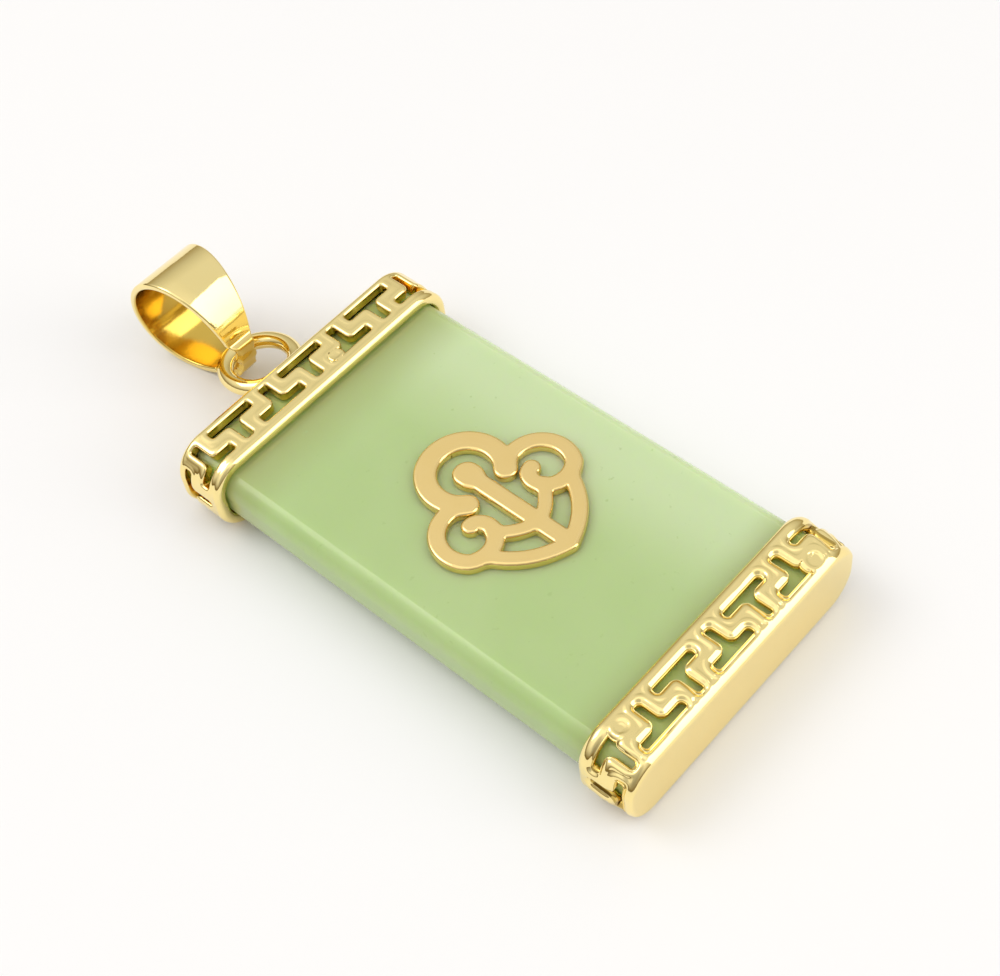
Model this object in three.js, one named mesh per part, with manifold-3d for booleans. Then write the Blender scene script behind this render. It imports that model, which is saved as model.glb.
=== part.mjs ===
// A jade plaque pendant, lying on its back: a jade slab held by two pierced gold end caps,
// with a wire ring on the top cap, a drop-shaped bail hung on the ring and a gold emblem on the slab.
// Millimetres. X runs across the plaque, Y along it towards the bail, Z up out of its front face.
// The origin is under the middle of the whole pendant, on the surface that it lies on.
import * as THREE from "three";
import { mergeVertices } from "three/addons/utils/BufferGeometryUtils.js";
import Module from "manifold-3d";

// Plaque
const PLAQUE_LENGTH = 35.6;
const BAIL_REACH = 12.4; // how far the bail lies beyond the top cap
const OVERALL_LENGTH = PLAQUE_LENGTH + BAIL_REACH;
const BOTTOM_END = -OVERALL_LENGTH / 2;
const TOP_END = BOTTOM_END + PLAQUE_LENGTH;
const PLAQUE_MIDDLE = (BOTTOM_END + TOP_END) / 2;

// End caps
const CAP_WIDTH = 20.4;
const CAP_HEIGHT = 5.5;
const CAP_DEPTH = 3.7;
const CAP_CORNER = 2.25;
const WALL = 0.75;
const END_PLATE = 0.5;
const RIM_ROUND = 0.35; // rounding of the rim that faces the jade
const RIM_INNER_ROUND = 0.2;
const END_ROUND = 0.5; // rounding between the band and the end face
const MIDDLE_HEIGHT = CAP_HEIGHT / 2;

// Fret: T-shaped windows that stand on alternate sides of the band
const FRET_COUNT = 16; // pitches round the whole band
const FRET_REACH = 5; // the front window is number 0, and windows run this far round each side
const FRET_STROKE = 0.58;
const FRET_BAR = 3.4;
const RIM_LAND = 0.9;
const FRET_GAP = 1.04; // metal between the two rows of bars
const CORNER_STEP = 0.55; // longest facet round a corner

// Jade slab
const JADE_THICKNESS = 3.7;
const JADE_CORNER = 1.42;
const JADE_CORNER_X = CAP_WIDTH / 2 - CAP_CORNER; // the caps' corners share these centres
const JADE_CORNER_Z = CAP_HEIGHT / 2 - CAP_CORNER;
const JADE_FRONT = MIDDLE_HEIGHT + JADE_THICKNESS / 2;

// Hanging ring
const RING_X = -0.48;
const RING_Z = 2.84;
const RING_HALF_WIDTH = 2.2; // to the middle of the wire
const RING_HALF_LENGTH = 2.58;
const RING_WIRE = 1.1;
const RING_DROOP = THREE.MathUtils.degToRad(12);
const RING_SOLDER = 0.15; // how deep the wire is pressed flat on the cap's end face

// Bail
const BAIL_X = -0.7;
const BAIL_TIP_Y = TOP_END + 4.41;
const BAIL_TIP_Z = 2.06;
const BAIL_TILT = THREE.MathUtils.degToRad(29.9);
const BAIL_LENGTH = 8.23;
const BAIL_BULGE = 4.8;
const BAIL_TAPER = 0.26; // draws the loop in towards its tip
const BAIL_THICKNESS = 0.45;
const BAIL_EDGE = 0.12;
const BAIL_TIP_WIDTH = 1.26;
const BAIL_FAR_WIDTH = 4.76;
const BAIL_WIDTH_POWER = 0.7;
const NUB_TURN = 0.68; // the soldered nub covers this much of the loop on each side of the tip
const NUB_WIDTH = 1.4;
const NUB_INSIDE = 0.08; // from the loop's line into the loop, where the ring passes
const NUB_OUTSIDE = 0.42;

// Emblem: a cloud scroll of flat strokes, drawn about its own middle
const EMBLEM_THICKNESS = 0.55;
const LOBE = { y: 2.85, radius: 2.4, stroke: 1.45, open: 45 };
const VOLUTE = { x: 3.0, y: -0.4, radius: 2.05, inner: 0.5, stroke: 1.15 };
const VOLUTE_ANGLES = { start: 130, tighten: -40, end: -230 };
const STEM = { top: 2.7, bottom: -5.0, stroke: 1.25, bulb: 1.8 };
const HEEL = { from: [0, -5.3], bend: [2.5, -4.6], to: [3.6, -2.35], stroke: 1.05 };
const LEAF = { from: [0, -2.9], bend: [1.2, -2.7], to: [2.15, -1.41], stroke: 0.95 };

// A mesh of quads and triangles that share their corners.
class Surface {
  constructor(flip = false) {
    this.points = [];
    this.triangles = [];
    this.flip = flip;
  }
  point(x, y, z) {
    return this.points.push(x, y, z) / 3 - 1;
  }
  triangle(a, b, c) {
    this.triangles.push(...(this.flip ? [a, c, b] : [a, b, c]));
  }
  quad(a, b, c, d) {
    this.triangle(a, b, c);
    this.triangle(a, c, d);
  }
  geometry() {
    const made = new THREE.BufferGeometry();
    made.setAttribute("position", new THREE.Float32BufferAttribute(this.points, 3));
    made.setIndex(this.triangles);
    made.computeVertexNormals();
    return made;
  }
}

// The rounded rectangle round a cap, walked from the middle of the front towards +X.
const FRONT_HALF = CAP_WIDTH / 2 - CAP_CORNER;
const SIDE_FLAT = CAP_HEIGHT - 2 * CAP_CORNER;
const CORNER_ARC = (Math.PI / 2) * CAP_CORNER;
const QUARTER = FRONT_HALF + CORNER_ARC + SIDE_FLAT / 2;
const PERIMETER = 4 * QUARTER;
const PITCH = PERIMETER / FRET_COUNT;

// Place and outward direction on that path, from one quarter of it by mirroring.
function aroundCap(walk) {
  const turned = THREE.MathUtils.euclideanModulo(walk, PERIMETER);
  const left = turned > PERIMETER / 2;
  const half = left ? PERIMETER - turned : turned;
  const back = half > QUARTER;
  const along = back ? 2 * QUARTER - half : half;
  const angle = THREE.MathUtils.clamp((along - FRONT_HALF) / CAP_CORNER, 0, Math.PI / 2);
  const out = { x: Math.sin(angle), z: Math.cos(angle) };
  const below = Math.max(0, along - FRONT_HALF - CORNER_ARC);
  const x = Math.min(along, FRONT_HALF) + CAP_CORNER * out.x;
  const z = SIDE_FLAT / 2 + CAP_CORNER * out.z - below;
  const sx = left ? -1 : 1;
  const sz = back ? -1 : 1;
  return { x: sx * x, z: MIDDLE_HEIGHT + sz * z, nx: sx * out.x, nz: sz * out.z };
}

// Distances from the rim at which the fret's rows begin and end.
const FRET_ROWS = [0, FRET_STROKE, FRET_GAP, FRET_STROKE].reduce(
  (rows, step) => [...rows, (rows.at(-1) ?? RIM_LAND) + step],
  [],
);

// Lines across the band: the windows' edges, the corners' ends and facets round the corners.
function bandLines() {
  const lines = new Set();
  const add = (walk) => lines.add(Number(THREE.MathUtils.euclideanModulo(walk, PERIMETER).toFixed(4)));
  for (let k = -FRET_REACH; k <= FRET_REACH; k++)
    for (const half of [FRET_BAR / 2, FRET_STROKE / 2]) {
      add(k * PITCH - half);
      add(k * PITCH + half);
    }
  for (const base of [0, PERIMETER / 2])
    for (const side of [-1, 1]) {
      add(base + side * FRONT_HALF);
      add(base + side * (FRONT_HALF + CORNER_ARC));
    }
  const sorted = [...lines].sort((a, b) => a - b);
  return sorted.flatMap((from, i) => {
    const step = THREE.MathUtils.euclideanModulo((sorted[i + 1] ?? sorted[0]) - from, PERIMETER);
    const middle = aroundCap(from + step / 2);
    const curved = Math.abs(middle.nx * middle.nz) > 1e-6;
    const parts = curved ? Math.ceil(step / CORNER_STEP) : 1;
    return Array.from({ length: parts }, (_, part) => from + (step * part) / parts);
  });
}

// Whether the band is cut away at a place: the row is 0 near the jade, 1 between and 2 near the end.
function isWindow(walk, row) {
  const signed = walk > PERIMETER / 2 ? walk - PERIMETER : walk;
  for (let k = -FRET_REACH; k <= FRET_REACH; k++) {
    const barRow = k % 2 === 0 ? 2 : 0;
    const half = (row === barRow ? FRET_BAR : FRET_STROKE) / 2;
    if (Math.abs(signed - k * PITCH) < half) return true;
  }
  return false;
}

// An end cap whose end face is at endY; way is +1 for the top cap and -1 for the bottom one.
function capGeometry(endY, way) {
  const surface = new Surface(way < 0);
  const rimY = endY - way * CAP_DEPTH;
  const lines = bandLines();
  const count = lines.length;
  const places = lines.map(aroundCap);
  const loop = (depth, inset) =>
    places.map((p) => surface.point(p.x - p.nx * inset, rimY + way * depth, p.z - p.nz * inset));
  const bevel = 1 - Math.SQRT1_2;
  const outer = [
    loop(0, RIM_ROUND),
    loop(RIM_ROUND * bevel, RIM_ROUND * bevel),
    loop(RIM_ROUND, 0),
    ...FRET_ROWS.map((depth) => loop(depth, 0)),
    loop(CAP_DEPTH - END_ROUND, 0),
    loop(CAP_DEPTH - END_ROUND * bevel, END_ROUND * bevel),
    loop(CAP_DEPTH, END_ROUND),
  ];
  const inner = [
    loop(0, WALL - RIM_INNER_ROUND),
    loop(RIM_INNER_ROUND, WALL),
    ...FRET_ROWS.map((depth) => loop(depth, WALL)),
    loop(CAP_DEPTH - END_PLATE, WALL),
  ];
  const outerFirst = 3; // places of the fret's first row in the two lists
  const innerFirst = 2;
  const next = (i) => (i + 1) % count;
  const middleOf = (i) => {
    const step = THREE.MathUtils.euclideanModulo(lines[next(i)] - lines[i], PERIMETER);
    return THREE.MathUtils.euclideanModulo(lines[i] + step / 2, PERIMETER);
  };
  const open = (i, row) => row >= 0 && row < 3 && isWindow(middleOf(i), row);

  for (let i = 0; i < count; i++) {
    const j = next(i);
    const before = (i + count - 1) % count;
    surface.quad(outer[0][i], inner[0][i], inner[0][j], outer[0][j]);
    for (let r = 0; r + 1 < outer.length; r++)
      if (!open(i, r - outerFirst)) surface.quad(outer[r][i], outer[r][j], outer[r + 1][j], outer[r + 1][i]);
    for (let r = 0; r + 1 < inner.length; r++)
      if (!open(i, r - innerFirst)) surface.quad(inner[r][i], inner[r + 1][i], inner[r + 1][j], inner[r][j]);
    for (let row = 0; row < 3; row++) {
      if (!open(i, row)) continue;
      const [o, p] = [outer[outerFirst + row], outer[outerFirst + row + 1]];
      const [n, m] = [inner[innerFirst + row], inner[innerFirst + row + 1]];
      if (!open(before, row)) surface.quad(o[i], n[i], m[i], p[i]);
      if (!open(j, row)) surface.quad(o[j], p[j], m[j], n[j]);
      if (!open(i, row - 1)) surface.quad(o[i], o[j], n[j], n[i]);
      if (!open(i, row + 1)) surface.quad(p[i], m[i], m[j], p[j]);
    }
  }
  const outerMiddle = surface.point(0, endY, MIDDLE_HEIGHT);
  const innerMiddle = surface.point(0, endY - way * END_PLATE, MIDDLE_HEIGHT);
  for (let i = 0; i < count; i++) {
    surface.triangle(outerMiddle, outer.at(-1)[i], outer.at(-1)[next(i)]);
    surface.triangle(innerMiddle, inner.at(-1)[next(i)], inner.at(-1)[i]);
  }
  return surface.geometry();
}

// The slab: a flat lapped front and back, and sides rounded on the caps' own corner centres.
function jadeGeometry() {
  const half = JADE_THICKNESS / 2;
  const lap = Math.asin((half - JADE_CORNER_Z) / JADE_CORNER); // where the flat front cuts the rounding
  const section = new THREE.Shape();
  section.absarc(JADE_CORNER_X, JADE_CORNER_Z, JADE_CORNER, 0, lap);
  section.absarc(-JADE_CORNER_X, JADE_CORNER_Z, JADE_CORNER, Math.PI - lap, Math.PI);
  section.absarc(-JADE_CORNER_X, -JADE_CORNER_Z, JADE_CORNER, Math.PI, Math.PI + lap);
  section.absarc(JADE_CORNER_X, -JADE_CORNER_Z, JADE_CORNER, -lap, 0);
  const length = PLAQUE_LENGTH - 2 * END_PLATE;
  const slab = new THREE.ExtrudeGeometry(section, { depth: length, bevelEnabled: false, curveSegments: 8 });
  slab.rotateX(Math.PI / 2);
  slab.translate(0, PLAQUE_MIDDLE + length / 2, MIDDLE_HEIGHT);
  return slab;
}

// A tube that runs round and meets itself: each frame has an origin, a right and an up direction,
// with right crossed with up pointing forwards, and each section lists its points anticlockwise.
function closedTube(frames, sections) {
  const surface = new Surface();
  const rings = frames.map(({ origin, right, up }, i) =>
    sections[i].map(([a, b]) => {
      const p = origin.clone().addScaledVector(right, a).addScaledVector(up, b);
      return surface.point(p.x, p.y, p.z);
    }),
  );
  rings.forEach((ring, i) => {
    const after = rings[(i + 1) % rings.length];
    ring.forEach((_, j) => {
      const k = (j + 1) % ring.length;
      surface.quad(ring[j], ring[k], after[k], after[j]);
    });
  });
  return surface;
}

// The oval wire ring, drooping away from the cap, its near side flattened where it is soldered on.
function ringGeometry() {
  const steps = 40;
  const sides = 10;
  const along = new THREE.Vector3(0, Math.cos(RING_DROOP), -Math.sin(RING_DROOP));
  const across = new THREE.Vector3(1, 0, 0);
  const under = new THREE.Vector3().crossVectors(along, across);
  const near = (RING_HALF_LENGTH + RING_WIRE / 2) * Math.cos(RING_DROOP);
  const centre = new THREE.Vector3(RING_X, TOP_END + near - RING_SOLDER, RING_Z);
  const wire = Array.from({ length: sides }, (_, j) => {
    const angle = (2 * Math.PI * j) / sides;
    return [(RING_WIRE / 2) * Math.cos(angle), (RING_WIRE / 2) * Math.sin(angle)];
  });
  const frames = Array.from({ length: steps }, (_, i) => {
    const angle = (2 * Math.PI * i) / steps;
    const origin = centre
      .clone()
      .addScaledVector(across, RING_HALF_WIDTH * Math.cos(angle))
      .addScaledVector(along, RING_HALF_LENGTH * Math.sin(angle));
    const right = across
      .clone()
      .multiplyScalar(RING_HALF_LENGTH * Math.cos(angle))
      .addScaledVector(along, RING_HALF_WIDTH * Math.sin(angle))
      .normalize();
    return { origin, right, up: under };
  });
  const ring = closedTube(frames, frames.map(() => wire));
  ring.points = ring.points.map((value, i) => (i % 3 === 1 ? Math.max(value, TOP_END) : value));
  return ring.geometry();
}

// A point on the bail's outer loop: turn runs from the tip over the upper limb and back below.
function bailPoint(turn) {
  const along = (BAIL_LENGTH * (1 - Math.cos(turn))) / 2;
  const lift = BAIL_BULGE * Math.sin(turn) * Math.abs(Math.sin(turn / 2)) ** BAIL_TAPER;
  return {
    along,
    y: BAIL_TIP_Y + along * Math.cos(BAIL_TILT) - lift * Math.sin(BAIL_TILT),
    z: BAIL_TIP_Z + along * Math.sin(BAIL_TILT) + lift * Math.cos(BAIL_TILT),
  };
}

// The bail: a band carried round its loop, wide at the far end, with a soldered nub at the tip.
function bailGeometry() {
  const bandSteps = 48;
  const nubSteps = 6;
  const delta = 1e-4;
  const band = 2 * (Math.PI - NUB_TURN);
  const turns = [
    ...Array.from({ length: nubSteps + 1 }, (_, i) => NUB_TURN * ((2 * i) / nubSteps - 1)),
    ...Array.from({ length: bandSteps }, (_, i) => NUB_TURN + 0.05 + ((band - 0.1) * i) / (bandSteps - 1)),
  ];
  const sections = [];
  const frames = turns.map((turn) => {
    const p = bailPoint(turn);
    const [a, b] = [bailPoint(turn - delta), bailPoint(turn + delta)];
    const forward = new THREE.Vector3(0, b.y - a.y, b.z - a.z).normalize();
    const right = new THREE.Vector3(1, 0, 0);
    const up = new THREE.Vector3().crossVectors(forward, right);
    const isNub = Math.abs(turn) <= NUB_TURN;
    const taper = (p.along / BAIL_LENGTH) ** BAIL_WIDTH_POWER;
    const bandWidth = BAIL_TIP_WIDTH + (BAIL_FAR_WIDTH - BAIL_TIP_WIDTH) * taper;
    const halfWidth = (isNub ? NUB_WIDTH : bandWidth) / 2;
    // Up points into the loop; the nub's extra metal is on the outside.
    const outside = isNub ? -NUB_OUTSIDE : 0;
    const inside = isNub ? NUB_INSIDE : BAIL_THICKNESS;
    sections.push([
      [halfWidth, outside + BAIL_EDGE],
      [halfWidth, inside - BAIL_EDGE],
      [halfWidth - BAIL_EDGE, inside],
      [BAIL_EDGE - halfWidth, inside],
      [-halfWidth, inside - BAIL_EDGE],
      [-halfWidth, outside + BAIL_EDGE],
      [BAIL_EDGE - halfWidth, outside],
      [halfWidth - BAIL_EDGE, outside],
    ]);
    return { origin: new THREE.Vector3(BAIL_X, p.y, p.z), right, up };
  });
  return closedTube(frames, sections).geometry();
}

// Points along an arc or spiral; angles in degrees, and the radius may change with the angle.
function arcPoints(x, y, radiusAt, from, to, steps) {
  return Array.from({ length: steps + 1 }, (_, i) => {
    const degrees = from + ((to - from) * i) / steps;
    const angle = THREE.MathUtils.degToRad(degrees);
    return new THREE.Vector2(x + radiusAt(degrees) * Math.cos(angle), y + radiusAt(degrees) * Math.sin(angle));
  });
}

const mirror = (line) => line.map((p) => new THREE.Vector2(-p.x, p.y));

// A bend from the middle line outwards, with its mirror image before it.
function bendPoints({ from, bend, to }, steps) {
  const points = [from, bend, to].map(([x, y]) => new THREE.Vector2(x, y));
  const half = new THREE.QuadraticBezierCurve(...points).getPoints(steps);
  return [...mirror(half).reverse(), ...half.slice(1)];
}

// A flat stroke of even width with round ends along a line of points.
function strokeGeometry(line, width) {
  const capSteps = 5;
  const half = width / 2;
  const heading = line.map((_, i) => {
    const a = line[Math.max(i - 1, 0)];
    const b = line[Math.min(i + 1, line.length - 1)];
    return Math.atan2(b.y - a.y, b.x - a.x);
  });
  const offset = (i, turn) =>
    new THREE.Vector2(
      line[i].x + half * Math.cos(heading[i] + turn),
      line[i].y + half * Math.sin(heading[i] + turn),
    );
  const last = line.length - 1;
  const capTurns = Array.from({ length: capSteps - 1 }, (_, i) => (Math.PI * (i + 1)) / capSteps);
  const outline = [
    ...line.map((_, i) => offset(i, -Math.PI / 2)),
    ...capTurns.map((turn) => offset(last, turn - Math.PI / 2)),
    ...line.map((_, i) => offset(last - i, Math.PI / 2)),
    ...capTurns.map((turn) => offset(0, turn + Math.PI / 2)),
  ];
  const options = { depth: EMBLEM_THICKNESS, bevelEnabled: false };
  return new THREE.ExtrudeGeometry(new THREE.Shape(outline), options);
}

// The emblem's strokes, each a line of points and a width.
function emblemStrokes() {
  const { start, tighten, end } = VOLUTE_ANGLES;
  const spiral = (degrees) => {
    const wound = THREE.MathUtils.clamp((tighten - degrees) / (tighten - end), 0, 1);
    return THREE.MathUtils.lerp(VOLUTE.radius, VOLUTE.inner, wound);
  };
  const volute = arcPoints(VOLUTE.x, VOLUTE.y, spiral, start, end, 22);
  const lobe = arcPoints(0, LOBE.y, () => LOBE.radius, -LOBE.open, 180 + LOBE.open, 18);
  const upright = (top, bottom) => [new THREE.Vector2(0, top), new THREE.Vector2(0, bottom)];
  return [
    { line: lobe, width: LOBE.stroke },
    { line: upright(STEM.top, STEM.bottom), width: STEM.stroke },
    { line: upright(STEM.top, STEM.top - STEM.bulb / 8), width: STEM.bulb },
    { line: bendPoints(HEEL, 8), width: HEEL.stroke },
    { line: bendPoints(LEAF, 5), width: LEAF.stroke },
    { line: volute, width: VOLUTE.stroke },
    { line: mirror(volute), width: VOLUTE.stroke },
  ];
}

const wasm = await Module();
wasm.setup();

function solidOf(geometry) {
  geometry.deleteAttribute("normal");
  geometry.deleteAttribute("uv");
  const merged = mergeVertices(geometry);
  return new wasm.Manifold(
    new wasm.Mesh({
      numProp: 3,
      vertProperties: merged.attributes.position.array,
      triVerts: new Uint32Array(merged.index.array),
    }),
  );
}

// The strokes joined into one flat plate that lies on the slab's front face.
function emblemGeometry() {
  const plate = emblemStrokes()
    .map(({ line, width }) => solidOf(strokeGeometry(line, width)))
    .reduce((whole, stroke) => whole.add(stroke));
  const { vertProperties, triVerts } = plate.getMesh();
  const made = new THREE.BufferGeometry();
  made.setAttribute("position", new THREE.BufferAttribute(vertProperties, 3));
  made.setIndex(new THREE.BufferAttribute(triVerts, 1));
  made.translate(0, PLAQUE_MIDDLE, JADE_FRONT);
  made.computeVertexNormals();
  return made;
}

const pendant = new THREE.Group();
const JADE = { color: 0xb2cf8c, roughness: 0.25, metalness: 0 };
const GOLD = { color: 0xf0d27a, roughness: 0.15, metalness: 1 };
const ROSE_GOLD = { color: 0xe6c384, roughness: 0.35, metalness: 1 };

function addPiece(name, geometry, look) {
  const mesh = new THREE.Mesh(geometry, new THREE.MeshStandardMaterial(look));
  mesh.name = name;
  pendant.add(mesh);
}

addPiece("jade_slab", jadeGeometry(), JADE);
addPiece("top_cap", capGeometry(TOP_END, 1), GOLD);
addPiece("bottom_cap", capGeometry(BOTTOM_END, -1), GOLD);
addPiece("hanging_ring", ringGeometry(), GOLD);
addPiece("bail", bailGeometry(), GOLD);
addPiece("emblem", emblemGeometry(), ROSE_GOLD);

export default pendant;
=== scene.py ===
# %% [markdown]
# # A jade plaque pendant
# The pendant lies on its back: a slab of pale jade in two pierced gold end caps, with a gold emblem on the
# jade, a wire ring on the top cap and a drop-shaped bail on the ring. The frame holds these pieces as plain
# faceted solids at their real size. This lesson puts a finished surface in the place of each of them. X
# runs across the plaque, Y along it towards the bail, and Z up out of its front.

# %% Load the frame and keep its box
import math

import bmesh
import bpy
import numpy as np
from mathutils import Matrix, Vector


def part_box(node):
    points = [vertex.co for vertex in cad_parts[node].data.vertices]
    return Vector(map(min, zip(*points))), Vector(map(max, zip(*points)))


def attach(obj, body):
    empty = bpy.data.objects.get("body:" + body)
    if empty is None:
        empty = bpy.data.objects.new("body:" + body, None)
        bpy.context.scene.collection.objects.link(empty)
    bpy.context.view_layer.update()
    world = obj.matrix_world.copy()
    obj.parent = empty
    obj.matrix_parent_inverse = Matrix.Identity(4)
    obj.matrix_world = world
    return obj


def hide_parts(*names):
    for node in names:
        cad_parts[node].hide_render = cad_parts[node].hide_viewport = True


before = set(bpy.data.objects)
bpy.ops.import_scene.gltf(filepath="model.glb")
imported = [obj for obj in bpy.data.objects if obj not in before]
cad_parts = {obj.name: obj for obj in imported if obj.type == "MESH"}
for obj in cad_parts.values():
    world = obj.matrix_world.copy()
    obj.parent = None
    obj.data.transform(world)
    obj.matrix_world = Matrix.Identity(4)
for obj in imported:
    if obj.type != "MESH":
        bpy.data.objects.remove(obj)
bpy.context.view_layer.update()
MM = 0.001  # the sums below are in millimetres, and the meshes are in metres


def node_box(node):
    """Lowest and highest corner of a solid of the frame, in millimetres."""
    low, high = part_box(node)
    return np.array(low) / MM, np.array(high) / MM


# %% [markdown]
# ## The camera
# The camera stands where the photograph was taken from: to the left of the bottom cap and high above it. It
# could be aimed at the pendant's middle and rolled by hand, but its place and its two directions were
# worked out from the straight edges of the caps and the slab, so they are written down as they are. The
# focal length is in pixels of the 1000 pixel wide picture, and Blender wants it in millimetres of a 36 mm
# sensor.

# %% Place the camera
CAMERA_PLACE = Vector((-41.178, -54.026, 88.852))
CAMERA_RIGHT = Vector((0.662146, -0.742779, -0.09921))
CAMERA_UP = Vector((0.636826, 0.487963, 0.596946))
FOCAL_PIXELS = 1800.87
PICTURE_WIDTH = 1000
SENSOR_WIDTH = 36

camera = bpy.data.objects.new("camera", bpy.data.cameras.new("camera"))
bpy.context.scene.collection.objects.link(camera)
camera.data.sensor_width = SENSOR_WIDTH
camera.data.lens = FOCAL_PIXELS / PICTURE_WIDTH * SENSOR_WIDTH
camera.data.clip_start = MM
turn = Matrix((CAMERA_RIGHT, CAMERA_UP, CAMERA_RIGHT.cross(CAMERA_UP))).transposed()
camera.matrix_world = Matrix.Translation(CAMERA_PLACE * MM) @ turn.to_4x4()
bpy.context.scene.camera = camera
print(f"lens {camera.data.lens:.1f} mm")

# %% [markdown]
# ## From arrays to a mesh
# Every piece below is worked out as whole numpy arrays: points in millimetres, and faces as rows of point
# numbers. Blender could take them through from_pydata, but foreach_set copies large arrays faster. Pieces
# are put together from several grids whose borders fall on the same points, so the doubles are merged
# afterwards, which closes the seams, and then the faces are all turned outwards.

# %% Write the mesh helpers
MERGE_DISTANCE = 1e-6


def grid_cells(rows, columns, wrap=False):
    """The corners of every cell of a grid kept row by row, (cells, 4).

    With wrap the last column meets the first.
    """
    index = np.arange(rows * columns).reshape(rows, columns)
    right = np.roll(index, -1, axis=1)
    if not wrap:
        index, right = index[:, :-1], right[:, :-1]
    return np.stack([index[:-1], right[:-1], right[1:], index[1:]], axis=-1).reshape(-1, 4)


def mesh_piece(name, parts, **attributes):
    """A smooth closed piece.

    Each part is its points in mm, (n, 3), and a list of its face arrays, (m, 3 or 4). Attributes are numbers
    for each point, in the order of the parts.
    """
    starts = np.cumsum([0] + [len(points) for points, _ in parts])
    points = np.concatenate([points for points, _ in parts])
    faces = [array + start for (_, arrays), start in zip(parts, starts) for array in arrays]
    sizes = np.concatenate([np.full(len(array), array.shape[1]) for array in faces])
    mesh = bpy.data.meshes.new(name)
    mesh.vertices.add(len(points))
    mesh.vertices.foreach_set("co", (points * MM).astype(np.float32).ravel())
    mesh.loops.add(sizes.sum())
    mesh.loops.foreach_set("vertex_index", np.concatenate([f.ravel() for f in faces]).astype(np.int32))
    mesh.polygons.add(len(sizes))
    mesh.polygons.foreach_set("loop_start", (np.cumsum(sizes) - sizes).astype(np.int32))
    mesh.update(calc_edges=True)
    for key, values in attributes.items():
        mesh.attributes.new(key, "FLOAT", "POINT").data.foreach_set("value", values.astype(np.float32))
    shell = bmesh.new()
    shell.from_mesh(mesh)
    bmesh.ops.remove_doubles(shell, verts=shell.verts, dist=MERGE_DISTANCE)
    bmesh.ops.dissolve_degenerate(shell, edges=shell.edges, dist=MERGE_DISTANCE / 10)
    bmesh.ops.recalc_face_normals(shell, faces=shell.faces)
    open_edges = sum(not edge.is_manifold for edge in shell.edges)
    shell.to_mesh(mesh)
    shell.free()
    mesh.shade_smooth()
    piece = bpy.data.objects.new(name, mesh)
    bpy.context.scene.collection.objects.link(piece)
    size = np.ptp(points, axis=0).round(2)
    print(f"{name}: {len(mesh.polygons)} faces, {open_edges} open edges, {size} mm")
    return piece


def fit_to_frame(piece, node, material):
    """The piece stands for a solid of the frame, which is hidden; it takes the given material and hangs from
    the root.
    """
    piece.data.materials.append(material)
    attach(piece, "root")
    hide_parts(node)


print("mesh helpers ready")

# %% [markdown]
# ## Node helpers
# The finishes are built from nodes: a few noises at the real scale of the metal's and the stone's own
# marks, which change colour and roughness a little and tilt the surface. All of them read Object
# coordinates, which are metres on the piece itself, so a pattern stays where it is from every side.

# %% Write the node helpers
class Finish:
    """A material whose Principled shader is fed by noise on Object coordinates."""

    def __init__(self, name, **sockets):
        self.material = bpy.data.materials.new(name)
        self.material.use_nodes = True
        self.nodes = self.material.node_tree.nodes
        self.links = self.material.node_tree.links
        self.shader = self.nodes["Principled BSDF"]
        self.place = self.nodes.new("ShaderNodeTexCoord").outputs["Object"]
        for socket, value in sockets.items():
            self.shader.inputs[socket.replace("_", " ")].default_value = value

    def noise(self, size, detail=3.0, stretch=(1, 1, 1)):
        """Noise whose blobs are about size millimetres across; stretch lengthens them along an axis."""
        mapping = self.nodes.new("ShaderNodeMapping")
        mapping.inputs["Scale"].default_value = [1 / (size * MM * s) for s in stretch]
        texture = self.nodes.new("ShaderNodeTexNoise")
        texture.inputs["Scale"].default_value = 1.0
        texture.inputs["Detail"].default_value = detail
        self.links.new(self.place, mapping.inputs["Vector"])
        self.links.new(mapping.outputs["Vector"], texture.inputs["Vector"])
        return texture.outputs["Fac"]

    def along(self, axis):
        """How far along X, Y or Z a point of the piece lies, in metres."""
        node = self.nodes.new("ShaderNodeSeparateXYZ")
        self.links.new(self.place, node.inputs["Vector"])
        return node.outputs[axis]

    def between(self, factor, low, high, start=0.3, end=0.7):
        """A number that eases from low to high as the factor goes from start to end."""
        node = self.nodes.new("ShaderNodeMapRange")
        node.interpolation_type = "SMOOTHSTEP"
        for socket, value in zip(("From Min", "From Max", "To Min", "To Max"), (start, end, low, high)):
            node.inputs[socket].default_value = value
        self.links.new(factor, node.inputs["Value"])
        return node.outputs["Result"]

    def blend(self, factor, first, second):
        """A colour between two others, each a colour or another node's output."""
        node = self.nodes.new("ShaderNodeMix")
        node.data_type = "RGBA"
        self.links.new(factor, node.inputs["Factor"])
        for socket, colour in (("A", first), ("B", second)):
            target = next(s for s in node.inputs if s.name == socket and s.type == "RGBA")
            if isinstance(colour, tuple):
                target.default_value = (*colour, 1)
            else:
                self.links.new(colour, target)
        return next(s for s in node.outputs if s.type == "RGBA")

    def feed(self, socket, output):
        """Links an output to one of the shader's sockets."""
        self.links.new(output, self.shader.inputs[socket])

    def bump(self, *layers):
        """Tilts the surface by several heights, each given with its depth in millimetres."""
        normal = None
        for height, depth in layers:
            node = self.nodes.new("ShaderNodeBump")
            node.inputs["Strength"].default_value = 1.0
            node.inputs["Distance"].default_value = depth * MM
            self.links.new(height, node.inputs["Height"])
            if normal is not None:
                self.links.new(normal, node.inputs["Normal"])
            normal = node.outputs["Normal"]
        self.feed("Normal", normal)


print("node helpers ready")
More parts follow.
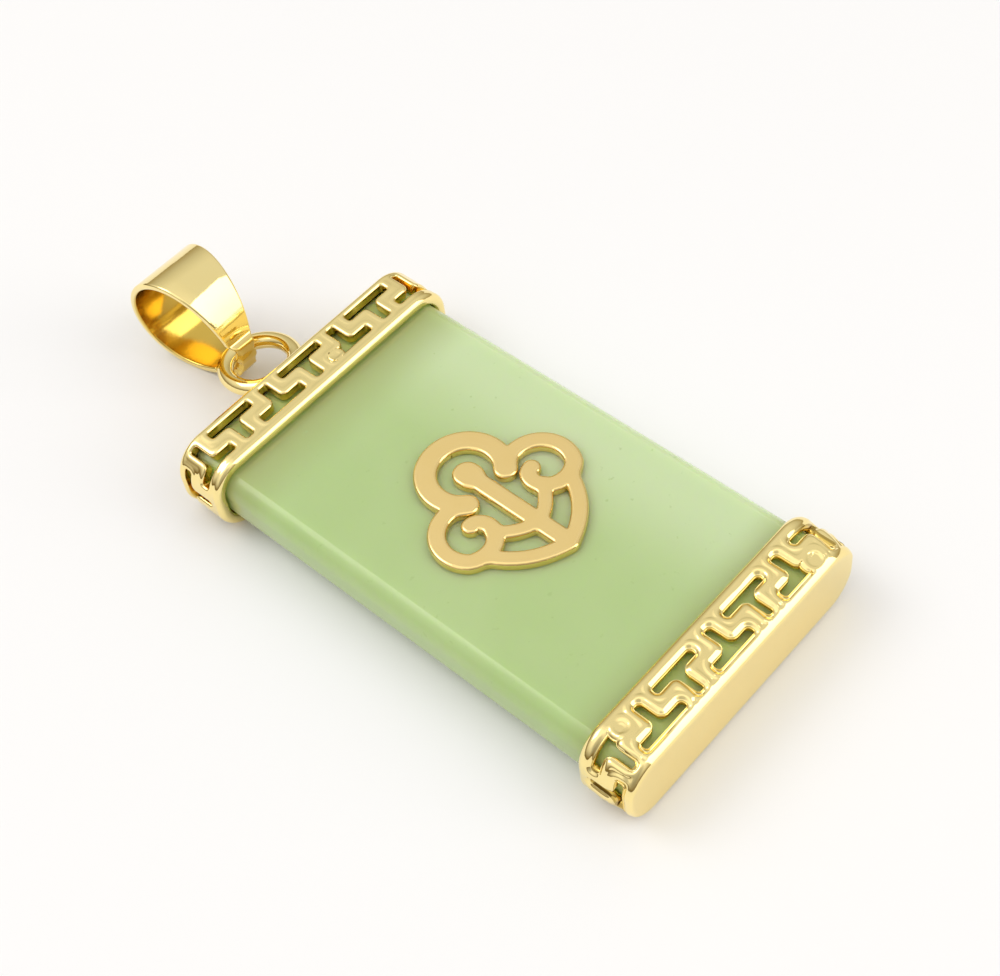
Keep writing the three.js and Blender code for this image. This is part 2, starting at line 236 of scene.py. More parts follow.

# %% [markdown]
# ## Polished gold
# The caps, the ring and the bail are cast and then plated bright yellow. Plain metallic colour looks like
# plastic under soft light, so the plating is given what the eye looks for: reflections that swim a little
# where the casting was polished by hand, a fine haze that comes and goes, and a slightly redder tone in
# places. The inside of the bail and the walls of the small windows are painted a deeper amber and made a
# little rougher, as painted shade and painted light that the gold throws back onto itself there, and most
# of the bail's nub gets the same amber. So these pieces carry a number on each point, inside, that is 1
# there and 0 elsewhere.

# %% Make the polished gold
YELLOW_GOLD = (1.0, 0.84, 0.39)
WARM_GOLD = (1.0, 0.80, 0.33)
PAINTED_SHADE_AMBER = (0.76, 0.52, 0.10)
AMBER_ROUGHNESS = (0.15, 0.15, 0.15)
TONE_SIZE = 2.5
HAZE_SIZE = 0.8
HAZE = (0.04, 0.11)
POLISH_WAVES = [(1.6, 1, 0.014), (0.55, 2, 0.004), (0.3, 4, 0.001)]  # size in mm, detail, depth in mm

gold = Finish("polished_gold", Metallic=1.0)
inside = gold.nodes.new("ShaderNodeAttribute")
inside.attribute_name = "inside"
plating = gold.blend(gold.noise(TONE_SIZE), YELLOW_GOLD, WARM_GOLD)
# Painted shade: where the inside number is 1, the gold turns to the deeper amber.
gold.feed("Base Color", gold.blend(inside.outputs["Fac"], plating, PAINTED_SHADE_AMBER))
haze = gold.between(gold.noise(HAZE_SIZE, detail=6), *HAZE)
gold.feed("Roughness", gold.blend(inside.outputs["Fac"], haze, AMBER_ROUGHNESS))
gold.bump(*[(gold.noise(size, detail), depth) for size, detail, depth in POLISH_WAVES])
print(f"polished gold, roughness {HAZE[0]} to {HAZE[1]}")

# %% [markdown]
# ## Satin rose gold
# The emblem is a redder, softer metal: its flat face was left satin and its rounded edge was polished. One
# material can do both if the mesh tells it where the edge is, so the emblem carries a number on each point,
# edge, that is 0 on the face and 1 round the edge.

# %% Make the satin rose gold
ROSE = (0.95, 0.70, 0.27)
ROSE_PALE = (0.97, 0.74, 0.32)
SATIN = 0.3
EDGE_POLISH = 0.1
ROSE_CLOUD = 1.8
SATIN_WAVES = [(1.2, 1, 0.006), (0.12, 3, 0.0008)]  # size in mm, detail, depth in mm

rose_gold = Finish("satin_rose_gold", Metallic=1.0)
edge = rose_gold.nodes.new("ShaderNodeAttribute")
edge.attribute_name = "edge"
rose_gold.feed("Base Color", rose_gold.blend(rose_gold.noise(ROSE_CLOUD), ROSE, ROSE_PALE))
rose_gold.feed("Roughness", rose_gold.between(edge.outputs["Fac"], SATIN, EDGE_POLISH, 0, 1))
rose_gold.bump(*[(rose_gold.noise(size, detail), depth) for size, detail, depth in SATIN_WAVES])
print(f"rose gold, roughness {SATIN} on the face and {EDGE_POLISH} at the edge")

# %% [markdown]
# ## Jade
# Jade glows because light enters it, scatters off its tiny felted crystals and comes out somewhere else. A
# glass shader would be too clear, and a plain diffuse one would be dead, so the shader's subsurface part
# does the work, with a scatter of a millimetre or two. A broad noise makes the faint clouds, and a fine one
# a few darker specks. Light and shade are painted into the colour as well: it is paler towards one long
# side, as painted light falling from there, darker towards its ends, more so at the top, as painted shade
# beside the caps' rims, and yellower under the caps, as painted light thrown back by the gold. Its surface
# is polished but not a mirror.

# %% Make the jade
JADE_GREEN = (0.455, 0.595, 0.265)
JADE_CLOUD = (0.475, 0.61, 0.285)
JADE_SPECK = (0.40, 0.53, 0.23)
JADE_LIT_SIDE = (0.59, 0.71, 0.42)
JADE_RIM_SHADE = (0.40, 0.47, 0.19)
JADE_GOLD_BOUNCE = (0.50, 0.66, 0.21)
LIT_SIDE_FROM_X = 0.5
LIT_SIDE_TO_X = 7.0
RIM_SHADE_LENGTH = 4.5
BOUNCE_BEFORE = 0.2
BOUNCE_AFTER = 0.4
SCATTER = 1.8
SCATTER_COLOURS = (0.8, 1.0, 0.5)
JADE_IOR = 1.62
JADE_SHEEN = 0.35
JADE_HAZE = (0.17, 0.24)
HAZE_CLOUD = 4
CLOUD_SIZE = 6
SPECK_SIZE = 0.5
SPECK_SHARE = 0.6
SPECK_EDGE = (0.68, 0.78)
slab_low, slab_high = node_box("jade_slab")
top_rim = node_box("top_cap")[0][1]
bottom_rim = node_box("bottom_cap")[1][1]

jade = Finish("polished_jade", Subsurface_Weight=1.0, Subsurface_Scale=SCATTER * MM, IOR=JADE_IOR)
jade.shader.inputs["Subsurface Radius"].default_value = SCATTER_COLOURS
jade.shader.inputs["Specular IOR Level"].default_value = JADE_SHEEN
across, along = jade.along("X"), jade.along("Y")
stone = jade.blend(jade.between(jade.noise(CLOUD_SIZE, detail=1), 0, 1), JADE_GREEN, JADE_CLOUD)
# Painted light: paler towards the +X long side, where more light falls.
stone = jade.blend(jade.between(across, 0, 1, LIT_SIDE_FROM_X * MM, LIT_SIDE_TO_X * MM), stone, JADE_LIT_SIDE)
# Painted shade: darker beside the caps' rims, deeper and wider at the top cap.
for rim, length, share in ((top_rim, -RIM_SHADE_LENGTH, 1), (bottom_rim, RIM_SHADE_LENGTH / 2, 0.5)):
    stone = jade.blend(jade.between(along, 0, share, (rim + length) * MM, rim * MM), stone, JADE_RIM_SHADE)
# Painted light: yellower just under the caps, as light thrown back by the gold.
for rim, way in ((top_rim, 1), (bottom_rim, -1)):
    start, end = (rim - BOUNCE_BEFORE * way) * MM, (rim + BOUNCE_AFTER * way) * MM
    stone = jade.blend(jade.between(along, 0, 1, start, end), stone, JADE_GOLD_BOUNCE)
specks = jade.between(jade.noise(SPECK_SIZE, detail=2), 0, SPECK_SHARE, *SPECK_EDGE)
jade.feed("Base Color", jade.blend(specks, stone, JADE_SPECK))
jade.feed("Roughness", jade.between(jade.noise(HAZE_CLOUD, detail=1), *JADE_HAZE))
print(f"jade, scatter {SCATTER} mm, roughness {JADE_HAZE[0]} to {JADE_HAZE[1]}")

# %% [markdown]
# ## The jade slab
# The slab was sawn, its long sides were rounded, and then its front and back were lapped flat, which leaves
# a fine crease where the flat meets the rounding. A cube with a bevel would round that crease away. Here
# the cross-section is drawn as it was made, flat, a very small rounding at the crease, the side's large arc
# and its short flat, and is carried straight along Y. One quarter is worked out and mirrored into the
# others.

# %% Build the jade slab
cap_low, cap_high = node_box("top_cap")
CAP_CORNER = 2.25
JADE_CORNER = 1.42
CREASE = 0.1
SLAB_ROWS = 120
SIDE_STEPS = 16
CREASE_STEPS = 8
FLAT_STEPS = 24
corner_x = cap_high[0] - CAP_CORNER
corner_z = cap_high[2] / 2 - CAP_CORNER
middle_height = cap_high[2] / 2


def arc(x, y, radius, start, end, steps):
    """Points round a centre, from one angle to another, in radians: (steps, 2)."""
    angle = np.linspace(start, end, steps)
    return np.column_stack([x + radius * np.cos(angle), y + radius * np.sin(angle)])


def slab_section():
    """The slab's outline about its own middle, anticlockwise from the right side.

    The crease is a circle that touches the flat front from below and the side's arc from inside, so its
    centre is the crease's radius under the front and that much less than the arc's radius from its centre.
    """
    half_height = (slab_high[2] - slab_low[2]) / 2
    rise = half_height - CREASE - corner_z
    run = math.sqrt((JADE_CORNER - CREASE) ** 2 - rise**2)
    meet = math.atan2(rise, run)
    side = arc(corner_x, corner_z, JADE_CORNER, 0, meet, SIDE_STEPS)
    crease = arc(corner_x + run, corner_z + rise, CREASE, meet, math.pi / 2, CREASE_STEPS)
    flat = np.column_stack([np.linspace(corner_x + run, 0, FLAT_STEPS), np.full(FLAT_STEPS, half_height)])
    quarter = np.concatenate([side, crease[1:], flat[1:]])
    half = np.concatenate([quarter, (quarter * (-1, 1))[::-1][1:]])
    return np.concatenate([half, -half])


def carried_along_y(section, ys):
    """A closed section, (n, 2) in X and Z, repeated at every y; each end is gathered to its middle point."""
    ends = np.array([[0.0, 0.0]])
    rings = [ends.repeat(len(section), 0), *[section] * len(ys), ends.repeat(len(section), 0)]
    along = np.concatenate([ys[:1], ys, ys[-1:]]).repeat(len(section))
    flat = np.concatenate(rings)
    points = np.column_stack([flat[:, 0], along, flat[:, 1] + middle_height])
    return points, [grid_cells(len(rings), len(section), wrap=True)]


slab = mesh_piece(
    "jade", [carried_along_y(slab_section(), np.linspace(slab_low[1], slab_high[1], SLAB_ROWS))]
)
fit_to_frame(slab, "jade_slab", jade.material)

# %% [markdown]
# ## Cutting a pattern out of a sheet
# The fret and the emblem are both sheets of metal with an outline, so they share one tool. A boolean would
# cut them, but it leaves ragged triangles that show in polished metal. Here the outline is a distance
# field: a formula that gives, for any point of the sheet, how far it is from the nearest edge. A fine grid
# is laid over the sheet, its points near the outline slide along the field's slope until they are on it,
# and a rounded lip is carried round every border. The result is a closed plate whose lips catch the light.

# %% Cut a sheet
SLOPE_STEP = 1e-4
KEPT_SHARE = 0.3  # of a cell, how far inside the metal a point has to be to stay where it is
SLIDES = 5


def slope_of(field, points):
    """The direction in which a field grows fastest, by central differences: (n, 2)."""
    steps = np.eye(2) * SLOPE_STEP
    return np.column_stack([(field(points + s) - field(points - s)) / (2 * SLOPE_STEP) for s in steps])


def cut_sheet(u, v, field, level, wrap=False):
    """A grid's triangles that lie in the metal, where field, the distance from the edge, is above level.

    A triangle is kept if a corner is inside, and its other corners move along the field's slope to the line.
    Gives points (n, 2), triangles, the border's directed edges and the way out of the metal at each point.
    """
    points = np.column_stack([u.ravel(), v.ravel()])
    cells = grid_cells(*u.shape, wrap)
    cell = abs(v[1, 0] - v[0, 0])
    inside = field(points) - level > KEPT_SHARE * cell
    triangles = np.concatenate([cells[:, [0, 1, 2]], cells[:, [0, 2, 3]]])
    triangles = triangles[inside[triangles].any(axis=1)]
    used = np.unique(triangles)
    number = np.zeros(len(points), int)
    number[used] = np.arange(len(used))
    points, inside, triangles = points[used], inside[used], number[triangles]
    border = ~inside
    for _ in range(SLIDES):
        slope = slope_of(field, points[border])
        miss = (field(points[border]) - level) / (slope**2).sum(axis=1)
        points[border] -= miss[:, None] * slope
    edges = triangles[:, [0, 1, 1, 2, 2, 0]].reshape(-1, 2)
    there = edges[:, 0] * len(points) + edges[:, 1]
    back = edges[:, 1] * len(points) + edges[:, 0]
    rim = edges[~np.isin(there, back) & border[edges].all(axis=1)]
    outward = -slope_of(field, points)
    outward /= np.linalg.norm(outward, axis=1, keepdims=True) + 1e-9
    return points, triangles, rim, outward


print(f"a border point takes {SLIDES} slides to its line")

# %% [markdown]
# ### The lip
# Cast and polished metal has no sharp edges, so a cut sheet gets its thickness together with a rounded lip.
# A Solidify modifier and a bevel could do it, but a bevel overlaps itself where the outline's points lie
# close together. Here the lip is a profile carried round every border: a quarter round, a straight wall and
# another quarter round.

# %% Give a sheet its lip
def lipped_plate(sheet, profile):
    """A cut sheet with its thickness: an upper face, a lower one, and a lip carried round every border.

    The profile is rows of reach and height, from the upper face down to the lower one; reach is how far the
    lip stands out past the sheet's border line. Gives points (n, 3) as u, v, height, the faces, and a number
    for each point that is 1 on the lip and 0 on the faces.
    """
    points, triangles, rim, outward = sheet
    around = np.unique(rim)
    place = np.zeros(len(points), int)
    place[around] = np.arange(len(around))
    lips = [
        np.column_stack([points[around] + reach * outward[around], np.full(len(around), height)])
        for reach, height in profile[1:-1]
    ]
    upper, lower = (np.column_stack([points, np.full(len(points), profile[row][1])]) for row in (0, -1))
    first_lip = len(points)
    first_lower = first_lip + len(lips) * len(around)
    rings = [around, *[first_lip + i * len(around) + np.arange(len(around)) for i in range(len(lips))]]
    rings.append(first_lower + around)
    a, b = place[rim[:, 0]], place[rim[:, 1]]
    walls = [np.column_stack([p[b], p[a], q[a], q[b]]) for p, q in zip(rings, rings[1:])]
    faces = [triangles, triangles[:, ::-1] + first_lower, *walls]
    lip = np.zeros(first_lower + len(points))
    lip[first_lip:first_lower] = 1
    return np.concatenate([upper, *lips, lower]), faces, lip


def bullnose(radius, top, bottom, lower_radius, steps=7):
    """A lip's profile: a quarter round of one radius, a straight wall and a quarter round of another."""
    turn = np.linspace(0, math.pi / 2, steps)
    over = np.column_stack([radius * np.sin(turn), top - radius * (1 - np.cos(turn))])
    under = np.column_stack(
        [radius - lower_radius * (1 - np.cos(turn)), bottom + lower_radius * (1 - np.sin(turn))]
    )
    close = [[0.0, bottom]]
    return np.concatenate([over, under, close])


print("lip tools ready")

# %% [markdown]
# ### Distances
# Both outlines are put together from simple shapes. They could be drawn point by point, but the distance to
# a rounded rectangle is a short formula, and two shapes are joined by the lesser of their distances. Easing
# that minimum fills the corner between them as poured metal would.

# %% Write the distances
def box_distance(x, y, half_x, half_y, rounding):
    """Distance to a rounded rectangle's edge, negative inside: to a smaller sharp one, less the rounding."""
    out_x = np.abs(x) - half_x + rounding
    out_y = np.abs(y) - half_y + rounding
    outside = np.hypot(np.maximum(out_x, 0), np.maximum(out_y, 0))
    return outside + np.minimum(np.maximum(out_x, out_y), 0) - rounding


def soft_min(first, second, reach):
    """The lesser of two distances, eased where they are within reach of each other, which makes a fillet."""
    share = np.clip(0.5 + 0.5 * (second - first) / reach, 0, 1)
    return second * (1 - share) + first * share - reach * share * (1 - share)


print("distance formulas ready")

# %% [markdown]
# ## The end caps
# Each cap is a cast box of gold, open towards the jade: a band that runs round in a rounded rectangle,
# pierced with T-shaped windows that stand on alternate sides, a rounded rim, and a smooth closed end. The
# band is unrolled into a flat sheet whose two parameters are the distance walked round the cap and the
# depth from the rim. The windows are cut there, and the sheet is rolled back up. The rim and the end are
# profiles carried round the same path, so their points meet the band's.

# %% Walk round a cap
WALL = 0.75
RIM_ROUND = 0.35
RIM_INNER_ROUND = 0.2
END_ROUND = 0.3
CAP_DEPTH = cap_high[1] - cap_low[1]
FRONT_HALF = corner_x
SIDE_HALF = corner_z
CORNER_ARC = math.pi / 2 * CAP_CORNER
QUARTER = FRONT_HALF + CORNER_ARC + SIDE_HALF
PERIMETER = 4 * QUARTER


def around_cap(walk):
    """Place and outward direction on the rounded rectangle, walked from the middle of the front towards +X.

    Half the path is the mirror image of the other half, and so is half of that, so only a quarter is worked
    out: a straight run, a quarter of a circle, and half of the short side.
    """
    turned = np.mod(walk, PERIMETER)
    left = turned > PERIMETER / 2
    half = np.where(left, PERIMETER - turned, turned)
    back = half > QUARTER
    along = np.where(back, 2 * QUARTER - half, half)
    angle = np.clip((along - FRONT_HALF) / CAP_CORNER, 0, math.pi / 2)
    out_x, out_z = np.sin(angle), np.cos(angle)
    below = np.maximum(0, along - FRONT_HALF - CORNER_ARC)
    sign_x, sign_z = np.where(left, -1, 1), np.where(back, -1, 1)
    x = np.minimum(along, FRONT_HALF) + CAP_CORNER * out_x
    z = SIDE_HALF + CAP_CORNER * out_z - below
    return sign_x * x, sign_z * z, sign_x * out_x, sign_z * out_z


def roll_up(walk, depth, height, end_y, way):
    """Rolls a flat sheet round a cap: height is measured outwards, and depth from the rim to the end."""
    x, z, out_x, out_z = around_cap(walk)
    y = end_y - way * (CAP_DEPTH - depth)
    return np.column_stack([x + out_x * height, y, z + out_z * height + middle_height])


print(f"the path round a cap is {PERIMETER:.2f} mm long")

# %% [markdown]
# ### The fret
# A window is a bar and a stem joined with a soft corner, and the bars stand in turn near the end and near
# the jade. The castings are not perfect: each window is moved and widened by a few hundredths of a
# millimetre, with fixed random numbers for each cap, and here and there a skin of metal was left in a
# window. The top cap came out crisp and flat. The bottom cap came out soft: its windows are edged with
# round beads, with a shallow groove between two of them, and its rim and the front of its end have broad
# shoulders.

# %% Draw the fret
FRET_COUNT = 16
FRET_REACH = 5
FRET_STROKE = 0.58
FRET_BAR = 3.4
RIM_LAND = 0.9
FRET_GAP = 1.04
FRET_FILLET = 0.3
SKIN_FILLET = 0.15
WIDEN_LIMIT = 0.06
PITCH = PERIMETER / FRET_COUNT
ROW_STEP = FRET_STROKE + FRET_GAP
FRET_SPAN = ROW_STEP + FRET_STROKE
FRET_MIDDLE = RIM_LAND + FRET_SPAN / 2
JADE_ROW = FRET_MIDDLE - ROW_STEP / 2
END_ROW = FRET_MIDDLE + ROW_STEP / 2
TOP_STYLE = {
    "seed": 3,
    "uneven": 0.03,
    "rounding": 0.16,
    "lip": 0.16,
    "bead": {"reach": 0.24, "crown": 0.05, "groove": 0.02},
    "wave": 0.01,
    "rim": {"reach": 0.35, "drop": 0.35},
    "end": {"reach": 0.45, "drop": 0.45, "back_drop": 0.45},
    "skins": [(PITCH - 1.3, JADE_ROW, 0.6)],
}
BOTTOM_STYLE = {
    "seed": 8,
    "uneven": 0.07,
    "rounding": 0.25,
    "lip": 0.2,
    "bead": {"reach": 0.36, "crown": 0.25, "groove": 0.05},
    "wave": 0.05,
    "rim": {"reach": 0.8, "drop": 0.45},
    "end": {"reach": 2.2, "drop": 0.88, "back_drop": 0.35},
    "skins": [(1.43 - 3 * PITCH, JADE_ROW, 0.9), (1.35 + 2 * PITCH, END_ROW, 0.95)],
}


def fret_windows(style):
    """The distance from the nearest window's edge, positive in the metal, as a function of points (n, 2)."""
    number = np.arange(-FRET_REACH, FRET_REACH + 1)
    draw = np.random.default_rng(style["seed"])
    shift, stem_shift, widen, lengthen = draw.normal(0, style["uneven"], (4, len(number)))
    side = np.where(number % 2 == 0, 1, -1)
    bar_row = FRET_MIDDLE + side * ROW_STEP / 2
    stem_row = FRET_MIDDLE - side * FRET_STROKE / 4
    stem_half = (ROW_STEP + FRET_STROKE / 2) / 2
    half_stroke = (FRET_STROKE + np.clip(widen, -WIDEN_LIMIT, WIDEN_LIMIT)) / 2

    def field(points):
        walk, depth = points[:, :1], points[:, 1:]
        x = walk - number * PITCH - shift
        bar = box_distance(x, depth - bar_row, (FRET_BAR + lengthen) / 2, half_stroke, style["rounding"])
        stem = box_distance(x - stem_shift, depth - stem_row, half_stroke, stem_half, style["rounding"])
        return soft_min(bar, stem, FRET_FILLET).min(axis=1)

    return field


def fret_metal(style):
    """The windows' field joined with round skins of metal, each given as its place and radius."""
    windows = fret_windows(style)

    def field(points):
        total = windows(points)
        for walk, depth, radius in style["skins"]:
            skin = radius - np.hypot(points[:, 0] - walk, points[:, 1] - depth)
            total = -soft_min(-total, -skin, SKIN_FILLET)
        return total

    return field


print(f"fret pitch {PITCH:.2f} mm, windows {FRET_SPAN:.2f} mm deep")

# %% [markdown]
# ### The relief
# The metal between the windows is not flat. It has beads, grooves, shoulders and some soft waves. A bump
# map could show them from above, but not in the outline of the band, so the points themselves are moved.
# The relief only ever goes inwards, so the cap keeps its size and lies flat.

# %% Shape the relief
GROOVE_REACH = 0.19
SKIN_EDGE = 0.12
SKIN_DROP = 0.03
WAVES = 6
WAVES_ROUND = (6, 22)
WAVE_TILT = 1.5
WAVE_TURN = 6.28


def eased(value, start, end):
    """From 0 at the start to 1 at the end, level at both."""
    share = np.clip((value - start) / (end - start), 0, 1)
    return share * share * (3 - 2 * share)


def casting_waves(walk, depth, seed):
    """Soft unevenness between -2 and 0: the mean of some sine waves, each a whole number round the cap."""
    draw = np.random.default_rng(seed)
    counts = draw.integers(*WAVES_ROUND, WAVES)
    tilts = draw.normal(0, WAVE_TILT, WAVES)
    phases = draw.uniform(0, WAVE_TURN, WAVES)
    total = np.zeros_like(walk)
    for count, tilt, phase in zip(counts, tilts, phases):
        total += np.sin(2 * math.pi * count * walk / PERIMETER + tilt * depth + phase)
    return total / WAVES - 1


def bead_relief(style, points):
    """A bead round every opening: it falls as a square both towards the edge and into the groove behind.

    A skin left in a window lies a little lower than the metal round it.
    """
    bead = style["bead"]
    away = np.clip(fret_metal(style)(points), 0, None)
    to_edge = np.clip(1 - away / bead["reach"], 0, 1)
    to_groove = np.clip((away - bead["reach"]) / GROOVE_REACH, 0, 1)
    skin = eased(-fret_windows(style)(points), 0, SKIN_EDGE)
    return -bead["crown"] * to_edge**2 - bead["groove"] * to_groove**2 - SKIN_DROP * skin


def shoulder(past, reach, drop):
    """How far a quarter of an ellipse has come down at a distance past its start."""
    share = np.clip(past / reach, 0, 1)
    return -drop * (1 - np.sqrt(1 - share**2))


def end_drop(style, walk):
    """How far the end's shoulder comes down: all of it on the front, and easing to less round the sides."""
    out_z = around_cap(walk)[3]
    size = style["end"]
    return size["back_drop"] + (size["drop"] - size["back_drop"]) * eased(out_z, 0, 1)


print("crowns of the beads in mm:", [style["bead"]["crown"] for style in (TOP_STYLE, BOTTOM_STYLE)])

# %% [markdown]
# ### The band
# The sheet is cut, its windows get their lips, the relief is added to its outer face, and the sheet is
# rolled round the path. A Curve modifier could bend a flat mesh round, but here the rolling is one formula,
# and the border's points come out just where the rim's and the end's will be. The walls of the windows are
# marked, so that a deeper amber can be painted on them as shade.

# %% Roll the band
BAND_COLUMNS = 656
BAND_ROWS = 42
INNER_LIP = 0.1
RECESS_START = 0.35
RECESS_END = 1.3
RELIEF_FADE = 0.3
BAND_WALK = np.linspace(-PERIMETER / 2, PERIMETER / 2, BAND_COLUMNS, endpoint=False)


def cap_band(style, end_y, way):
    """The pierced band with its windows' lips, and a number that is 1 in its recesses, for the painted amber
    shade.

    The relief fades out at the band's borders, and the shoulders go on.
    """
    depth = np.linspace(RIM_ROUND, CAP_DEPTH - END_ROUND, BAND_ROWS)
    sheet = cut_sheet(*np.meshgrid(BAND_WALK, depth), fret_metal(style), style["lip"], wrap=True)
    flat, faces, _ = lipped_plate(sheet, bullnose(style["lip"], 0, -WALL, INNER_LIP))
    outer = np.clip(1 + flat[:, 2] / style["lip"], 0, 1)
    relief = style["wave"] * casting_waves(flat[:, 0], flat[:, 1], style["seed"])
    relief += bead_relief(style, flat[:, :2])
    border = np.minimum(flat[:, 1] - depth[0], depth[-1] - flat[:, 1])
    end_reach, rim_reach = style["end"]["reach"], style["rim"]["reach"]
    to_end = shoulder(flat[:, 1] - CAP_DEPTH + end_reach, end_reach, end_drop(style, flat[:, 0]))
    to_rim = shoulder(rim_reach - flat[:, 1], rim_reach, style["rim"]["drop"])
    height = flat[:, 2] + outer * (relief * eased(border, 0, RELIEF_FADE) + to_end + to_rim)
    # Painted shade: 1 on the windows' walls and inside the band, which get the deeper amber.
    recess_shade = eased(-flat[:, 2], RECESS_START * style["lip"], RECESS_END * style["lip"])
    return (roll_up(flat[:, 0], flat[:, 1], height, end_y, way), faces), recess_shade


print(f"a band has {BAND_COLUMNS} by {BAND_ROWS} points before it is cut")

# %% [markdown]
# ### The rim and the end
# The rim, the end's rounding and the flat end are carried round the same path as the band. They could be
# filled in by hand as faces, but as profiles with the same steps round the cap their borders share their
# points with the band's, and merging the doubles closes the cap.

# %% Carry the rim and the end round
ROUND_STEPS = 8
SHOULDER_STEPS = 12


def carried_round_cap(profile, end_y, way, stretch=1.0):
    """A profile, rows of height and depth, carried round the cap's path; stretch multiplies its heights."""
    height = profile[:, :1] * np.broadcast_to(stretch, BAND_COLUMNS)
    depth = np.repeat(profile[:, 1], BAND_COLUMNS)
    points = roll_up(np.tile(BAND_WALK, len(profile)), depth, height.ravel(), end_y, way)
    return points, [grid_cells(len(profile), BAND_COLUMNS, wrap=True)]


def rim_profile(style):
    """The rim: the shoulder's last part, a narrow flat and a small quarter round to the inner face."""
    reach, drop = style["rim"]["reach"], style["rim"]["drop"]
    turn = np.linspace(math.asin(1 - RIM_ROUND / reach), math.pi / 2, ROUND_STEPS)
    outer = np.column_stack([drop * (np.cos(turn) - 1), reach * (1 - np.sin(turn))])
    turn = np.linspace(0, math.pi / 2, ROUND_STEPS)
    inner = np.column_stack([RIM_INNER_ROUND * (1 - np.sin(turn)), RIM_INNER_ROUND * (1 - np.cos(turn))])
    inner[:, 0] -= WALL
    return np.concatenate([outer, inner, [[-WALL, RIM_ROUND]]])


def closed_face(height, depth, rows, end_y, way):
    """A flat end: the path's points, at one height or many, slide in rows to the cap's middle line."""
    edge, _ = carried_round_cap(np.array([[1.0, depth]]), end_y, way, height)
    middle = edge.copy()
    middle[:, 0] = np.clip(middle[:, 0], -FRONT_HALF, FRONT_HALF)
    middle[:, 2] = middle_height
    share = np.linspace(0, 1, rows)[:, None, None]
    points = (edge * (1 - share) + middle * share).reshape(-1, 3)
    return points, [grid_cells(rows, BAND_COLUMNS, wrap=True)]


def end_profile(style):
    """The last part of the shoulder between the band and the end face, for a drop of 1."""
    reach = style["end"]["reach"]
    turn = np.linspace(math.asin(1 - END_ROUND / reach), math.pi / 2, SHOULDER_STEPS)
    return np.column_stack([np.cos(turn) - 1, CAP_DEPTH - reach * (1 - np.sin(turn))])


print(f"rim {RIM_ROUND} mm and end {END_ROUND} mm past the band")

# %% [markdown]
# ### Both caps
# The caps are one pattern, cast twice and turned round, and only their flaws differ. Mirroring the first
# would copy its flaws too, so one function builds each of them from its own style.

# %% Build the caps
FACE_ROWS = 14


def build_cap(name, style, end_y, way):
    """A whole cap; way is 1 at the top and -1 at the bottom."""
    band, recess_shade = cap_band(style, end_y, way)
    drop = end_drop(style, BAND_WALK)
    parts = [
        band,
        carried_round_cap(rim_profile(style), end_y, way),
        carried_round_cap(end_profile(style), end_y, way, drop),
        closed_face(-drop, CAP_DEPTH, FACE_ROWS, end_y, way),
        closed_face(-WALL, CAP_DEPTH - END_ROUND, 2, end_y, way),
    ]
    # The rim and the end get none of the painted amber shade.
    polished = np.zeros(sum(len(points) for points, _ in parts[1:]))
    return mesh_piece(name, parts, inside=np.concatenate([recess_shade, polished]))


TOP_END = cap_high[1]
BOTTOM_END = node_box("bottom_cap")[0][1]
top_cap = build_cap("fret_cap_top", TOP_STYLE, TOP_END, 1)
fit_to_frame(top_cap, "top_cap", gold.material)
bottom_cap = build_cap("fret_cap_bottom", BOTTOM_STYLE, BOTTOM_END, -1)
fit_to_frame(bottom_cap, "bottom_cap", gold.material)

# %% [markdown]
# ## The emblem
# A thin gold ornament is glued to the middle of the jade: a cloud scroll of flat strokes, a lobe, two
# volutes, a stem and a heel. It could be drawn as a curve and extruded, but its strokes would have to be
# joined by hand. Here each stroke is a line with a width, and its distance field is the distance to the
# line less half the width. The soft minimum of them all joins the strokes with small fillets, as the metal
# would flow.

# %% Draw the emblem's strokes
LOBE = {"y": 2.85, "radius": 2.4, "stroke": 1.45, "open": 45}
VOLUTE = {"x": 3.0, "y": -0.4, "radius": 2.05, "inner": 0.5, "stroke": 1.15}
VOLUTE_ANGLES = {"start": 130, "tighten": -40, "end": -230}
STEM = {"top": 2.7, "bottom": -5.0, "stroke": 1.25, "bulb": 1.8}
HEEL = {"bend": [(0, -5.3), (2.5, -4.6), (3.6, -2.35)], "stroke": 1.05}
LEAF = {"bend": [(0, -2.9), (1.2, -2.7), (2.15, -1.41)], "stroke": 0.95}
VOLUTE_STEPS = 48
LOBE_STEPS = 40


def polar_line(x, y, radius, degrees):
    """Points at a radius, one number or many, and an angle from a centre."""
    angle = np.radians(degrees)
    return np.column_stack([x + radius * np.cos(angle), y + radius * np.sin(angle)])


def bend_line(bend, steps=10):
    """A quadratic curve from the middle line outwards, with its mirror image before it."""
    t = np.linspace(0, 1, steps)[:, None]
    start, middle, end = np.array(bend, float)
    half = (1 - t) ** 2 * start + 2 * t * (1 - t) * middle + t**2 * end
    return np.concatenate([(half * (-1, 1))[::-1], half[1:]])


